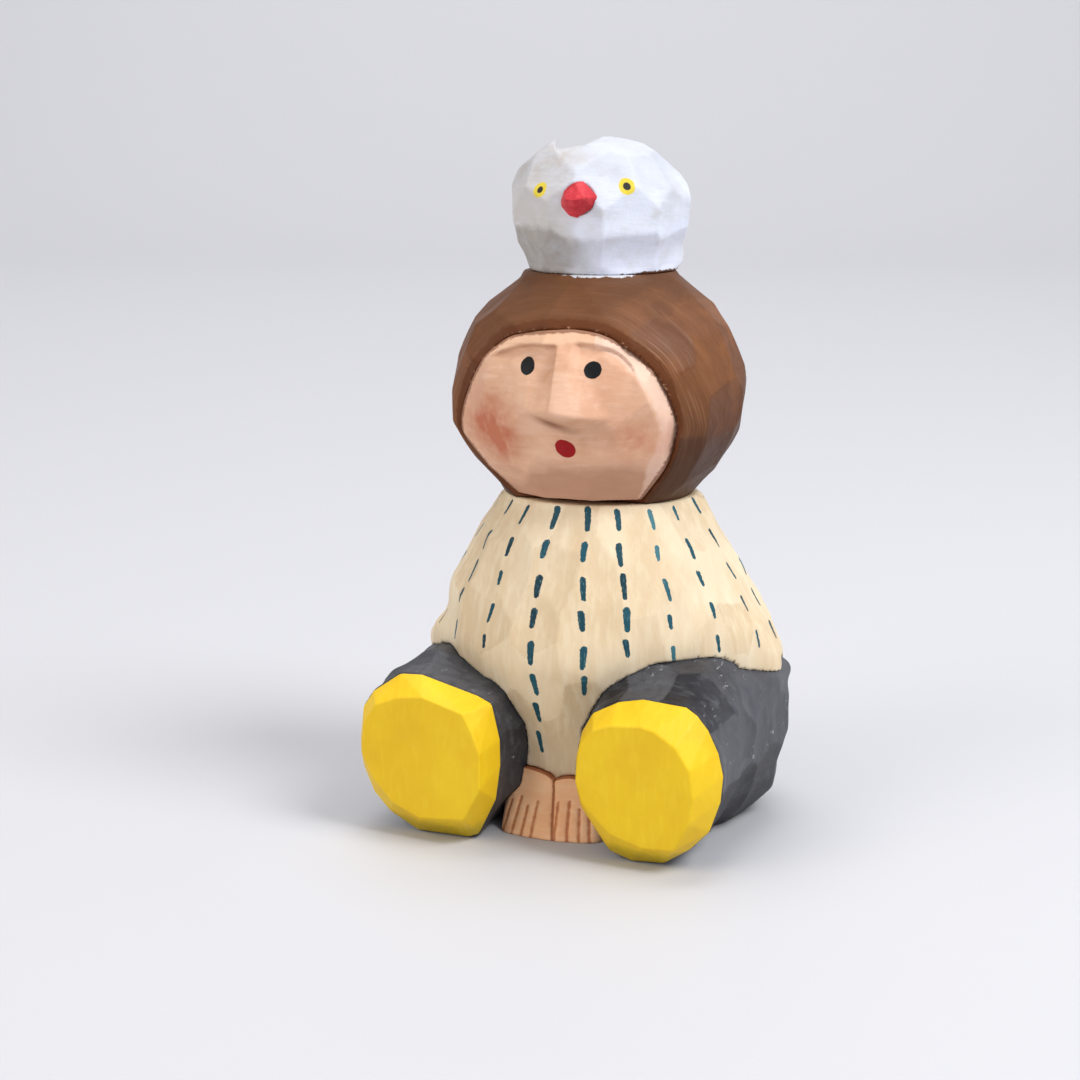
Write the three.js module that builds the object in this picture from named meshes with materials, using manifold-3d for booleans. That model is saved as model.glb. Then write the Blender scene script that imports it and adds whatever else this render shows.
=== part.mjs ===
// A seated wooden figure: a child in a knitted sweater and dark trousers, with a round bird on
// the head. The blocks are carved, painted and held together with round dowels, and the head
// turns on the neck dowel.
// Units are millimetres. +Z is up, the figure looks towards -Y, and its left side is +X.
// The origin is on the ground, straight below the neck dowel.

import * as THREE from 'three';
import { ConvexGeometry } from 'three/addons/geometries/ConvexGeometry.js';
import { mergeVertices } from 'three/addons/utils/BufferGeometryUtils.js';
import Module from 'manifold-3d';

const wasm = await Module();
wasm.setup();

// ---------------------------------------------------------------- driving dimensions

const GAP = 0.3;                 // glue line or running gap between any two blocks
const HEAD_YAW = 4.5;            // degrees that the head is turned to its left at rest
const BIRD_YAW = 3.5;            // degrees that the bird is turned further than the head

const SEAT_TOP = 27;             // flat top of the seat block
const SEAT_BACK_SHIFT = 3;       // the seat's middle lies behind the neck axis
const SEAT_DEPTH_RATIO = 0.88;   // depth over width of the seat and of the hem
const LEG_JOINT_Y = -12;         // flat front of the seat block, where the legs start

const COLLAR_Z = 58.4;           // flat top of the torso, where the head turns
const COLLAR_DEPTH_RATIO = 0.95;
const HEAD_TOP = 97.8;           // flat on the hair that the bird sits on
const TOTAL_HEIGHT = 121;

const CUFF_Z = 10.6;             // the sleeves end here and the hands begin
const SLEEVE_HALF_TOP = 9;       // half width of the two sleeves where they leave the belly
const SLEEVE_HALF_CUFF = 4.85;
const SLEEVE_FRONT_TOP = -22.5;
const SLEEVE_FRONT_CUFF = -20.2;
const SLEEVE_TOP_Z = 31;

const HAND_HALF_GROUND = 9.4;
const HAND_FRONT_GROUND = -25;

const LEG_SIDES = 14;
const RIM_HALF = { width: 13.3, height: 14.5 };
const SOLE_FLAT_HALF = { width: 10.8, height: 11.1 };
const SOLE_THICKNESS = 5.4;
const SOLE_FLAT_RISE = 0.9;      // the flat of the sole sits a little above the rim's middle

// The two legs are carved by eye, so they aren't quite mirror images.
const LEGS = {
  left: { side: 1, x: 20.0, rimY: -29.6, backHalf: { width: 14.4, height: 16.6 } },
  right: { side: -1, x: -20.8, rimY: -28.4, backHalf: { width: 14.2, height: 15.6 } },
};

const FACE_BACK_Y = -12;         // flat bottom of the pocket in the hair block
const FACE_HALF_WIDTH = 19.4;
const FACE_TOP = 89.4;
const FACE_RADIUS_STEP = 1.4;    // the face lies this much inside the hair's surface

const BIRD_SIDES = 16;
const BIRD_WIDEST = 15.6;
const TAIL = { z: 105.5, reach: 19, halfWidth: 3.4 };

const BEAK = { z: 110.2, seatY: -14.6, halfWidth: 3.2, halfHeight: 3.4, reach: 3.6 };

const DOWELS = {
  neck: { radius: 4, length: 24, sides: 24 },
  bird: { radius: 2, length: 14, sides: 12 },
  face: { radius: 2, length: 12, sides: 12 },
  torso: { radius: 3, length: 16, sides: 12 },
  leg: { radius: 2.5, length: 14, sides: 12 },
  sole: { radius: 2, length: 8, sides: 12 },
  hand: { radius: 1.2, length: 8, sides: 12 },
  beak: { radius: 1.2, length: 4, sides: 12 },
};

// ---------------------------------------------------------------- materials

function paint(color, roughness = 0.55) {
  return new THREE.MeshStandardMaterial({ color, roughness, metalness: 0 });
}

const SWEATER_CREAM = paint(0xecd9b5);
const TROUSER_GREY = paint(0x434346);
const SOLE_YELLOW = paint(0xe8c227, 0.45);
const SKIN_PEACH = paint(0xdcb092);
const HAIR_BROWN = paint(0x86593b);
const BIRD_WHITE = paint(0xdcdfe6);
const BEAK_RED = paint(0xcc3d45, 0.45);
const DOWEL_BEECH = paint(0xd3b083, 0.75);

// ---------------------------------------------------------------- solids and meshes

function toSolid(geometry) {
  const bare = geometry.clone();
  bare.deleteAttribute('normal');
  bare.deleteAttribute('uv');
  const merged = mergeVertices(bare, 1e-4);
  const index = merged.index.array;
  const triangles = [];
  for (let i = 0; i < index.length; i += 3) {
    const [a, b, c] = [index[i], index[i + 1], index[i + 2]];
    if (a !== b && b !== c && c !== a) triangles.push(a, b, c);
  }
  return new wasm.Manifold(new wasm.Mesh({
    numProp: 3,
    vertProperties: new Float32Array(merged.attributes.position.array),
    triVerts: new Uint32Array(triangles),
  }));
}

function toMesh(name, solid, material) {
  const { vertProperties, triVerts } = solid.getMesh();
  const geometry = new THREE.BufferGeometry();
  geometry.setAttribute('position', new THREE.BufferAttribute(vertProperties, 3));
  geometry.setIndex(new THREE.BufferAttribute(triVerts, 1));
  geometry.computeVertexNormals();
  const mesh = new THREE.Mesh(geometry, material);
  mesh.name = name;
  return mesh;
}

// ---------------------------------------------------------------- shape helpers

// A form turned on a lathe from [radius, height] pairs, standing along +Z. depthRatio squeezes
// it front to back, and few sides leave it faceted, as a knife does.
function turned(profile, sides, depthRatio = 1) {
  const points = profile.map(([radius, height]) => new THREE.Vector2(radius, height));
  const geometry = new THREE.LatheGeometry(points, sides);
  geometry.rotateX(Math.PI / 2);
  geometry.rotateZ(Math.PI / sides);
  geometry.scale(1, depthRatio, 1);
  return geometry;
}

// Moves every level of a form towards +Y, by more the lower it lies.
function leanBack(geometry, zTop, zBottom, shift) {
  const slope = shift / (zBottom - zTop);
  const shear = new THREE.Matrix4().set(
    1, 0, 0, 0,
    0, 1, slope, -slope * zTop,
    0, 0, 1, 0,
    0, 0, 0, 1,
  );
  return geometry.applyMatrix4(shear);
}

// A ring of points in a vertical plane that faces the front.
function frontRing(sides, centre, half) {
  const points = [];
  for (let i = 0; i < sides; i += 1) {
    const angle = (2 * Math.PI * (i + 0.5)) / sides;
    const x = centre.x + half.width * Math.sin(angle);
    const z = centre.z - half.height * Math.cos(angle) / Math.cos(Math.PI / sides);
    points.push(new THREE.Vector3(x, centre.y, Math.max(z, 0)));
  }
  return points;
}

function pointsOf(geometry) {
  const position = geometry.attributes.position;
  const points = [];
  for (let i = 0; i < position.count; i += 1) {
    points.push(new THREE.Vector3().fromBufferAttribute(position, i));
  }
  return points;
}

function hull(points) {
  return toSolid(new ConvexGeometry(points));
}

function box(low, high) {
  const size = high.map((value, i) => value - low[i]);
  const geometry = new THREE.BoxGeometry(...size);
  geometry.translate(...low.map((value, i) => value + size[i] / 2));
  return toSolid(geometry);
}

// ---------------------------------------------------------------- dowels and their holes

function dowelGeometry({ radius, length, sides }, axis, middle, extra = 0) {
  const geometry = new THREE.CylinderGeometry(radius + extra, radius + extra, length + 2 * extra, sides);
  if (axis === 'z') geometry.rotateX(Math.PI / 2);
  geometry.translate(...middle);
  return geometry;
}

const dowelPlaces = [
  { name: 'neck_dowel', kind: 'neck', axis: 'z', middle: [0, 0, COLLAR_Z] },
  { name: 'bird_dowel', kind: 'bird', axis: 'z', middle: [0, 0, HEAD_TOP], inHead: true },
  { name: 'face_dowel', kind: 'face', axis: 'y', middle: [0, FACE_BACK_Y, 76], inHead: true },
  { name: 'torso_dowel_left', kind: 'torso', axis: 'z', middle: [14, 8, SEAT_TOP] },
  { name: 'torso_dowel_right', kind: 'torso', axis: 'z', middle: [-14, 8, SEAT_TOP] },
];
for (const [name, leg] of Object.entries(LEGS)) {
  dowelPlaces.push(
    { name: `${name}_leg_dowel`, kind: 'leg', axis: 'y', middle: [leg.x, LEG_JOINT_Y, 14] },
    { name: `${name}_sole_dowel`, kind: 'sole', axis: 'y', middle: [leg.x, leg.rimY + 0.8, 14] },
    { name: `${name}_hand_dowel`, kind: 'hand', axis: 'z', middle: [leg.side * 2.5, -16.5, CUFF_Z] },
  );
}

// Cuts the hole of every named dowel into a solid, with a gap all round.
function drilled(solid, ...names) {
  let result = solid;
  for (const place of dowelPlaces.filter((p) => names.includes(p.name))) {
    const hole = dowelGeometry(DOWELS[place.kind], place.axis, place.middle, GAP);
    result = result.subtract(toSolid(hole));
  }
  return result;
}

// ---------------------------------------------------------------- seat and legs

// The back ring of a leg, on the seat's flat front.
function legBackRing(leg, y, grow = 0) {
  const half = { width: leg.backHalf.width + grow, height: leg.backHalf.height + grow };
  return frontRing(LEG_SIDES, { x: leg.x, y, z: leg.backHalf.height }, half);
}

// A round base that widens at the front until its sides run on into the legs.
function seatSolid() {
  const profile = [
    [0, 0], [26, 0], [31, 4], [33.6, 10], [34.9, 18], [34.4, 23], [32.6, SEAT_TOP], [0, SEAT_TOP],
  ];
  const base = turned(profile, 20, SEAT_DEPTH_RATIO);
  base.translate(0, SEAT_BACK_SHIFT, 0);
  const points = pointsOf(base);
  for (const leg of Object.values(LEGS)) points.push(...legBackRing(leg, LEG_JOINT_Y));
  const behindTheLegs = box([-50, LEG_JOINT_Y, -5], [50, 50, SEAT_TOP]);
  return hull(points).intersect(behindTheLegs);
}

// A stub leg, from the seat's flat front to the rim of the sole. grow makes the fatter copy
// that clears the leg's place in its neighbours.
function legSolid(leg, grow = 0) {
  const rim = { x: leg.x, y: leg.rimY - grow, z: RIM_HALF.height };
  const rimHalf = { width: RIM_HALF.width + grow, height: RIM_HALF.height + grow };
  return hull([
    ...legBackRing(leg, LEG_JOINT_Y - GAP + grow, grow),
    ...frontRing(LEG_SIDES, rim, rimHalf),
  ]);
}

function soleSolid(leg) {
  const rim = { x: leg.x, y: leg.rimY - GAP, z: RIM_HALF.height };
  const flat = {
    x: leg.x,
    y: leg.rimY - GAP - SOLE_THICKNESS,
    z: RIM_HALF.height + SOLE_FLAT_RISE,
  };
  return hull([
    ...frontRing(LEG_SIDES, rim, RIM_HALF),
    ...frontRing(LEG_SIDES, flat, SOLE_FLAT_HALF),
  ]);
}

// ---------------------------------------------------------------- torso and hands

function torsoSolid() {
  const bottom = SEAT_TOP + GAP;
  const profile = [
    [0, bottom], [32.6, bottom], [32.4, 30], [30.4, 35], [28.4, 40],
    [25.5, 46], [22.2, 51.5], [19.6, 56], [17.8, COLLAR_Z], [0, COLLAR_Z],
  ];
  const body = turned(profile, 24, (SEAT_DEPTH_RATIO + COLLAR_DEPTH_RATIO) / 2);
  leanBack(body, COLLAR_Z, bottom, SEAT_BACK_SHIFT);

  const sleeveBack = LEG_JOINT_Y - GAP;
  const sleeveSection = (half, front, z) => [
    new THREE.Vector3(-half, sleeveBack, z),
    new THREE.Vector3(half, sleeveBack, z),
    new THREE.Vector3(-half, front + 2.2, z),
    new THREE.Vector3(half, front + 2.2, z),
    new THREE.Vector3(-half / 2, front, z),
    new THREE.Vector3(half / 2, front, z),
  ];
  const sleeves = hull([
    ...sleeveSection(SLEEVE_HALF_TOP, SLEEVE_FRONT_TOP, SLEEVE_TOP_Z),
    ...sleeveSection(SLEEVE_HALF_CUFF, SLEEVE_FRONT_CUFF, CUFF_Z + GAP),
  ]);

  let solid = toSolid(body).add(sleeves);
  for (const leg of Object.values(LEGS)) {
    solid = solid.subtract(legSolid(leg, GAP));
  }
  return solid;
}

function handSolid(leg) {
  const inner = leg.side * GAP / 2;
  const back = LEG_JOINT_Y - GAP;
  const points = [];
  const section = (half, front, z) => {
    for (const x of [inner, leg.side * half * 0.7]) {
      points.push(new THREE.Vector3(x, front, z));
    }
    points.push(new THREE.Vector3(leg.side * half, front + 2.5, z));
    points.push(new THREE.Vector3(leg.side * half, back, z));
    points.push(new THREE.Vector3(inner, back, z));
  };
  section(HAND_HALF_GROUND, HAND_FRONT_GROUND, 0);
  section(HAND_HALF_GROUND - 0.6, HAND_FRONT_GROUND + 0.6, 2);
  section(SLEEVE_HALF_CUFF, SLEEVE_FRONT_CUFF, CUFF_Z);
  let solid = hull(points);
  for (const neighbour of Object.values(LEGS)) {
    solid = solid.subtract(legSolid(neighbour, GAP));
  }
  return solid;
}

// ---------------------------------------------------------------- head

const HAIR_PROFILE = [
  [16.6, COLLAR_Z + GAP], [18.6, 60.8], [21.4, 63.4], [23.9, 66.9], [26, 72.6], [26.4, 78],
  [25.2, 84.6], [22.9, 88.6], [18.4, 93.8], [13.1, HEAD_TOP],
];

// The front opening of the hair: straight sides under a round arch, open at the bottom.
function facePocketOutline(inset) {
  const half = FACE_HALF_WIDTH - inset;
  const springing = FACE_TOP - FACE_HALF_WIDTH * 0.86;
  const outline = new THREE.Shape();
  outline.moveTo(-half, COLLAR_Z - 5);
  outline.lineTo(half, COLLAR_Z - 5);
  outline.lineTo(half, springing);
  outline.absellipse(0, springing, half, FACE_TOP - inset - springing, 0, Math.PI, false);
  return outline;
}

// The outline above as a solid that runs from the flat at backY to well in front of the head.
function facePocket(inset, backY) {
  const depth = 30;
  const geometry = new THREE.ExtrudeGeometry(facePocketOutline(inset), {
    depth,
    bevelEnabled: false,
    curveSegments: 14,
  });
  geometry.rotateX(Math.PI / 2);
  geometry.translate(0, backY, 0);
  return toSolid(geometry);
}

function hairSolid() {
  const bottom = COLLAR_Z + GAP;
  const form = turned([[0, bottom], ...HAIR_PROFILE, [0, HEAD_TOP]], 18);
  return toSolid(form).subtract(facePocket(0, FACE_BACK_Y));
}

function faceSolid() {
  const bottom = COLLAR_Z + GAP;
  const profile = HAIR_PROFILE.map(([radius, height]) => [radius - FACE_RADIUS_STEP, height]);
  const form = turned([[0, bottom], ...profile, [0, HEAD_TOP]], 18);
  const block = toSolid(form).intersect(facePocket(GAP, FACE_BACK_Y - GAP));
  const nose = hull([
    new THREE.Vector3(0, -24.4, 84.5),
    new THREE.Vector3(-4, -23, 73.6),
    new THREE.Vector3(4, -23, 73.6),
    new THREE.Vector3(-1.6, -26.9, 75.6),
    new THREE.Vector3(1.6, -26.9, 75.6),
    new THREE.Vector3(0, -20, 73),
    new THREE.Vector3(0, -20, 84),
  ]);
  return block.add(nose);
}

function birdSolid() {
  const bottom = HEAD_TOP + GAP;
  const profile = [
    [0, bottom], [12.4, bottom], [14.5, 101.4], [BIRD_WIDEST, 106.6], [15.2, 111.4],
    [13.2, 115.4], [9.4, 118.9], [4.2, TOTAL_HEIGHT - 0.2], [0, TOTAL_HEIGHT],
  ];
  const tail = [];
  for (const x of [-TAIL.halfWidth, TAIL.halfWidth]) {
    tail.push(new THREE.Vector3(x * 1.3, 10, TAIL.z - 4));
    tail.push(new THREE.Vector3(x * 1.3, 10, TAIL.z + 4));
    tail.push(new THREE.Vector3(x, TAIL.reach, TAIL.z));
    tail.push(new THREE.Vector3(x, TAIL.reach, TAIL.z + 2));
  }
  return toSolid(turned(profile, BIRD_SIDES)).add(hull(tail));
}

// A six-sided pyramid with a round tenon behind it, which sits in a hole in the bird.
function beakSolid() {
  const half = { width: BEAK.halfWidth, height: BEAK.halfHeight };
  const root = frontRing(6, { x: 0, y: BEAK.seatY, z: BEAK.z }, half);
  const tip = new THREE.Vector3(0, BEAK.seatY - BEAK.reach, BEAK.z - 0.4);
  const tenonMiddle = [0, BEAK.seatY + DOWELS.beak.length / 2 - 0.5, BEAK.z];
  return hull([...root, tip]).add(toSolid(dowelGeometry(DOWELS.beak, 'y', tenonMiddle)));
}

// The flat on the bird that the beak is glued to, with the hole for its tenon.
function beakSeatCut() {
  const reach = 6;
  const flat = box(
    [-reach, BEAK.seatY - reach, BEAK.z - reach],
    [reach, BEAK.seatY + GAP, BEAK.z + reach],
  );
  const holeMiddle = [0, BEAK.seatY + DOWELS.beak.length / 2, BEAK.z];
  return flat.add(toSolid(dowelGeometry(DOWELS.beak, 'y', holeMiddle, GAP)));
}

function headGroup() {
  const bird = drilled(birdSolid(), 'bird_dowel').subtract(beakSeatCut());
  const birdAndBeak = new THREE.Group();
  birdAndBeak.add(toMesh('bird', bird, BIRD_WHITE), toMesh('beak', beakSolid(), BEAK_RED));
  birdAndBeak.rotation.z = THREE.MathUtils.degToRad(BIRD_YAW);
  const head = new THREE.Group();
  head.add(
    toMesh('hair', drilled(hairSolid(), 'neck_dowel', 'bird_dowel', 'face_dowel'), HAIR_BROWN),
    toMesh('face', drilled(faceSolid(), 'face_dowel'), SKIN_PEACH),
    birdAndBeak,
  );
  head.rotation.z = THREE.MathUtils.degToRad(HEAD_YAW);
  return head;
}

// ---------------------------------------------------------------- assembly

const figure = new THREE.Group();
const head = headGroup();
figure.add(head);

const seatDowels = ['torso_dowel_left', 'torso_dowel_right', 'left_leg_dowel', 'right_leg_dowel'];
const torsoDowels = [
  'neck_dowel', 'torso_dowel_left', 'torso_dowel_right', 'left_hand_dowel', 'right_hand_dowel',
];
figure.add(toMesh('seat_block', drilled(seatSolid(), ...seatDowels), TROUSER_GREY));
figure.add(toMesh('torso', drilled(torsoSolid(), ...torsoDowels), SWEATER_CREAM));

for (const [name, leg] of Object.entries(LEGS)) {
  const legDrilled = drilled(legSolid(leg), `${name}_leg_dowel`, `${name}_sole_dowel`);
  figure.add(
    toMesh(`${name}_leg`, legDrilled, TROUSER_GREY),
    toMesh(`${name}_boot_sole`, drilled(soleSolid(leg), `${name}_sole_dowel`), SOLE_YELLOW),
    toMesh(`${name}_hand`, drilled(handSolid(leg), `${name}_hand_dowel`), SKIN_PEACH),
  );
}

for (const place of dowelPlaces) {
  const geometry = dowelGeometry(DOWELS[place.kind], place.axis, place.middle);
  const dowel = toMesh(place.name, toSolid(geometry), DOWEL_BEECH);
  (place.inHead ? head : figure).add(dowel);
}

export default figure;
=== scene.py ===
"""Looks of the seated wooden figure with a bird on its head.

Every visible block is carved as a field of signed distances in millimetres: a smooth form,
flattened by knife cuts, with its hollows and grooves, and then turned into a fine mesh. Paint is
procedural. Places that need a sharp painted edge, such as the dashes and the eyes, are stored on
the mesh as distances, and the materials cut them off where they cross zero.
"""

import functools
import math

import bmesh
import bpy
import numpy as np
from mathutils import Matrix, Vector


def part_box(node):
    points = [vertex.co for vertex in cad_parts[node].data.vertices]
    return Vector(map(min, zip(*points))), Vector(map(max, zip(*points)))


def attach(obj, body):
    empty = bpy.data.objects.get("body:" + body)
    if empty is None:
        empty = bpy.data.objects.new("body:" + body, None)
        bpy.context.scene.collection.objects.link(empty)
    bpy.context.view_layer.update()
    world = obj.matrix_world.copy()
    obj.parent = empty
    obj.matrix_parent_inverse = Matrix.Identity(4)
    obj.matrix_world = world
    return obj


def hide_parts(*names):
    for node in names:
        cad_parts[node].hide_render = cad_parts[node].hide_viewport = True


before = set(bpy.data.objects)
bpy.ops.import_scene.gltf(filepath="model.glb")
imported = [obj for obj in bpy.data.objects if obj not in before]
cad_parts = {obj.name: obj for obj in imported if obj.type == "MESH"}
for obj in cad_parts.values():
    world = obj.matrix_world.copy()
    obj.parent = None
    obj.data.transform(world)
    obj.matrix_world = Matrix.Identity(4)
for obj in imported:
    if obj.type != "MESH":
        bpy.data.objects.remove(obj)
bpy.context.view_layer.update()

MM = 0.001
SEED = 7
QUICK_COARSER = 1.0


def mm_box(node):
    low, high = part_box(node)
    return np.array(low) / MM, np.array(high) / MM


# ---- sizes, in millimetres

SEAT_LOW, SEAT_HIGH = mm_box("seat_block")
TORSO_LOW, TORSO_HIGH = mm_box("torso")

COLLAR_Z = TORSO_HIGH[2]
HEAD_BOTTOM = COLLAR_Z + 0.06
HEAD_TOP = mm_box("hair")[1][2]
BIRD_BOTTOM = HEAD_TOP + 0.03
BIRD_TOP = mm_box("bird")[1][2]
HEM_Z = SEAT_HIGH[2]
CUFF_Z = TORSO_LOW[2]
FLOOR_GAP = 0.02
JOINT_GAP = 0.06
LEG_JOINT_Y = SEAT_LOW[1]
SEAT_MIDDLE_Y = 3.0
SEAT_DEPTH = 0.88
HAND_SPLIT_X = -1.0
HAND_SPLIT_SLOPE = 0.15
FACE_BACK_Y = -12.0

# The head is turned on the body, and the bird's face a little more. The bird's crown is carved
# square to the camera.
CAMERA_AZIMUTH = math.radians(20)
HEAD_YAW = math.radians(4.5)
BIRD_TURN = math.radians(3.5)
VIEW_TURN = CAMERA_AZIMUTH - HEAD_YAW

# Radius at each height, [height, radius].
TORSO_PROFILE = ((8, 25), (16, 28), (22, 31.5), (26, 33.4), (29, 33.5), (34.6, 31.4), (40, 28.6),
                 (45.6, 25.6), (51.5, 22.1), (55, 19.8), (COLLAR_Z, 17.3), (60, 16.2))
SEAT_PROFILE = ((-2, 24), (0, 26.4), (4, 31), (10, 33.0), (18, 34.0), (23, 33.7),
                (27, 33.2), (29, 29), (31, 21), (33, 8))
HAIR_PROFILE = ((56, 15.8), (HEAD_BOTTOM, 16.9), (60.4, 18.8), (63.4, 21.4), (66.9, 24), (72.6, 26),
                (78, 26.4), (84.6, 25.0), (88.6, 22.8), (93.8, 18.2), (HEAD_TOP, 13.3), (100, 10.5))
BIRD_PROFILE = ((96, 11.4), (BIRD_BOTTOM, 12.7), (101, 13.9), (104.6, 15.1), (107.7, 15.7),
                (110.3, 15.7), (112.5, 15.3), (115, 14.1), (117.2, 12.3), (119, 10.0), (120.2, 7.2),
                (BIRD_TOP - 0.2, 3.5), (BIRD_TOP + 0.2, 0.1))

LOWER_DOWELS = ("left_leg_dowel", "left_sole_dowel", "right_leg_dowel", "right_sole_dowel",
                "torso_dowel_left", "torso_dowel_right")
TORSO_DOWELS = ("neck_dowel", "torso_dowel_left", "torso_dowel_right", "left_hand_dowel",
                "right_hand_dowel")
HAIR_DOWELS = ("neck_dowel", "bird_dowel", "face_dowel")


# ---- small maths

def xyz(p):
    return p[..., 0], p[..., 1], p[..., 2]


def most(*fields):
    return functools.reduce(np.maximum, fields)


def smooth_min(a, b, soft):
    h = np.clip(0.5 + 0.5 * (b - a) / soft, 0, 1)
    return b + (a - b) * h - soft * h * (1 - h)


def smooth_max(a, b, soft):
    return -smooth_min(-a, -b, soft)


def fade(x, start, end):
    t = np.clip((x - start) / (end - start), 0, 1)
    return t * t * (3 - 2 * t)


def spot(x, z, wide, high):
    """A soft spot round x = 0, z = 0, where it is 1."""
    return np.exp(-(x / wide) ** 2 - (z / high) ** 2)


def profile(z, table):
    """Radius of a turned form at height z, on a smooth curve through the table."""
    heights, radii = np.array(table, float).T
    slopes = np.gradient(radii, heights)
    z = np.clip(z, heights[0], heights[-1])
    i = np.clip(np.searchsorted(heights, z) - 1, 0, len(heights) - 2)
    span = heights[i + 1] - heights[i]
    t = (z - heights[i]) / span
    return (radii[i] * (1 + 2 * t) * (1 - t) ** 2 + slopes[i] * span * t * (1 - t) ** 2
            + radii[i + 1] * t * t * (3 - 2 * t) + slopes[i + 1] * span * t * t * (t - 1))


def outline_distance(x, z, corners, soft=0.3):
    """Distance to a convex outline given clockwise, negative inside."""
    result = None
    for a, b in zip(corners, np.roll(corners, -1, 0)):
        along = (b - a) / np.linalg.norm(b - a)
        side = -(x - a[0]) * along[1] + (z - a[1]) * along[0]
        result = side if result is None else smooth_max(result, side, soft)
    return result


def turn(p, angle):
    """The points p turned about the Z axis."""
    x, y, z = xyz(p)
    c, s = math.cos(angle), math.sin(angle)
    return np.stack([c * x - s * y, s * x + c * y, z], -1)


def waves(p, length, seed, count=7):
    """Soft seeded unevenness between about -1 and 1, with that wavelength."""
    rng = np.random.default_rng(seed)
    total = np.zeros(p.shape[:-1])
    for _ in range(count):
        direction = rng.normal(size=3)
        direction *= rng.uniform(0.7, 1.4) * 2 * math.pi / (length * np.linalg.norm(direction))
        total += np.sin(p @ direction + rng.uniform(0, 2 * math.pi))
    return total / count * 1.6


# ---- knife cuts

def ring_seeds(table, heights, spacing, seed, middle_y=0.0, depth_ratio=1.0, jitter=0.3):
    """Centres of the knife cuts, in staggered rows round a turned form."""
    rng = np.random.default_rng(seed)
    gap = (heights[-1] - heights[0]) / max(len(heights) - 1, 1)
    seeds = []
    for row, height in enumerate(heights):
        radius = float(profile(np.array(float(height)), table))
        count = max(5, round(2 * math.pi * radius / spacing))
        for i in range(count):
            angle = 2 * math.pi * (i + 0.5 * (row % 2) + jitter * rng.uniform(-1, 1)) / count
            z = height + jitter * gap * rng.uniform(-1, 1)
            r = float(profile(np.array(z), table))
            seeds.append((r * math.sin(angle), middle_y - depth_ratio * r * math.cos(angle), z))
    return np.array(seeds)


def front_seeds(cuts, table):
    """Middles of knife cuts on the front of a turned form, from [x, z]."""
    x, z = np.array(cuts, float).T
    r = profile(z, table)
    return np.stack([x, -np.sqrt(np.maximum(r * r - x * x, 1)), z], 1)


def cut_height(p, seeds, radius, stretch=(1, 1, 1), soft=0.05):
    """How far flat cuts centred on the seeds stand proud of a form with that radius."""
    scale = np.array(stretch, float)
    points = (p * scale).astype(np.float32)
    centres = (seeds * scale).astype(np.float32)
    result = np.empty(len(points), np.float32)
    batch = 20000
    for start in range(0, len(points), batch):
        part = points[start:start + batch]
        square = ((part ** 2).sum(1)[:, None] + (centres ** 2).sum(1)[None]
                  - 2 * part @ centres.T) / (2 * radius)
        least = square.min(1)
        total = np.exp(-(square - least[:, None]) / soft).sum(1)
        result[start:start + batch] = least - soft * np.log(total)
    return result


def facet_tone(p, seeds, seed, stretch=(1, 1, 1)):
    """A tone between 0 and 1 for each knife cut, as each is painted a little differently."""
    scale = np.array(stretch, float)
    square = ((p[:, None] * scale - seeds[None] * scale) ** 2).sum(2)
    return np.random.default_rng(seed).uniform(0, 1, len(seeds))[square.argmin(1)]


def holes(p, d, places, clearance=0.3):
    """Cuts the round holes of CAD dowels into a field."""
    for node in places:
        low, high = mm_box(node)
        middle, half = (low + high) / 2, (high - low) / 2
        axis = int(np.argmax(half))
        q = p - middle
        across = np.sqrt(sum(q[..., a] ** 2 for a in range(3) if a != axis))
        hole = np.maximum(across - half.min(), np.abs(q[..., axis]) - half[axis]) - clearance
        d = np.maximum(d, -hole)
    return d


# ---- from field to mesh

def surface_net(values, origin, step):
    """Vertices and quads of the surface where the grid of values crosses zero."""
    inside = values < 0
    unit = np.eye(3, dtype=int)
    ends = [slice(0, -1), slice(1, None)]
    count = np.zeros(np.array(values.shape) - 1, np.int8)
    for i, j, k in np.ndindex(2, 2, 2):
        count += inside[ends[i], ends[j], ends[k]]
    active = (count > 0) & (count < 8)
    cells = np.argwhere(active)
    ids = np.full(active.shape, -1)
    ids[active] = np.arange(len(cells))
    total, hits, quads = np.zeros((len(cells), 3)), np.zeros(len(cells)), []
    for axis in range(3):
        u, v = [a for a in range(3) if a != axis]
        for i, j in np.ndindex(2, 2):
            offset = i * unit[u] + j * unit[v]
            a = cells + offset
            va, vb = values[tuple(a.T)], values[tuple((a + unit[axis]).T)]
            crossed = (va < 0) != (vb < 0)
            t = np.where(crossed, va / np.where(crossed, va - vb, 1), 0)
            total += (offset + t[:, None] * unit[axis]) * crossed[:, None]
            hits += crossed
        a = np.moveaxis(inside, axis, 0)
        edges = np.argwhere(a[:-1] != a[1:])
        room = np.array(a.shape)[1:] - 1
        edges = edges[((edges[:, 1:] > 0) & (edges[:, 1:] < room)).all(1)]
        base = np.zeros((len(edges), 3), int)
        base[:, axis], base[:, u], base[:, v] = edges.T
        corners = (base - unit[u] - unit[v], base - unit[v], base, base - unit[u])
        quad = np.stack([ids[tuple(c.T)] for c in corners], 1)
        outward = a[:-1][tuple(edges.T)]
        flip = outward if axis != 1 else ~outward
        quad[~flip] = quad[~flip][:, ::-1]
        quads.append(quad)
    return origin + step * (cells + total / hits[:, None]), np.concatenate(quads)


def add(name, data):
    made = bpy.data.objects.new(name, data)
    bpy.context.scene.collection.objects.link(made)
    return made


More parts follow.
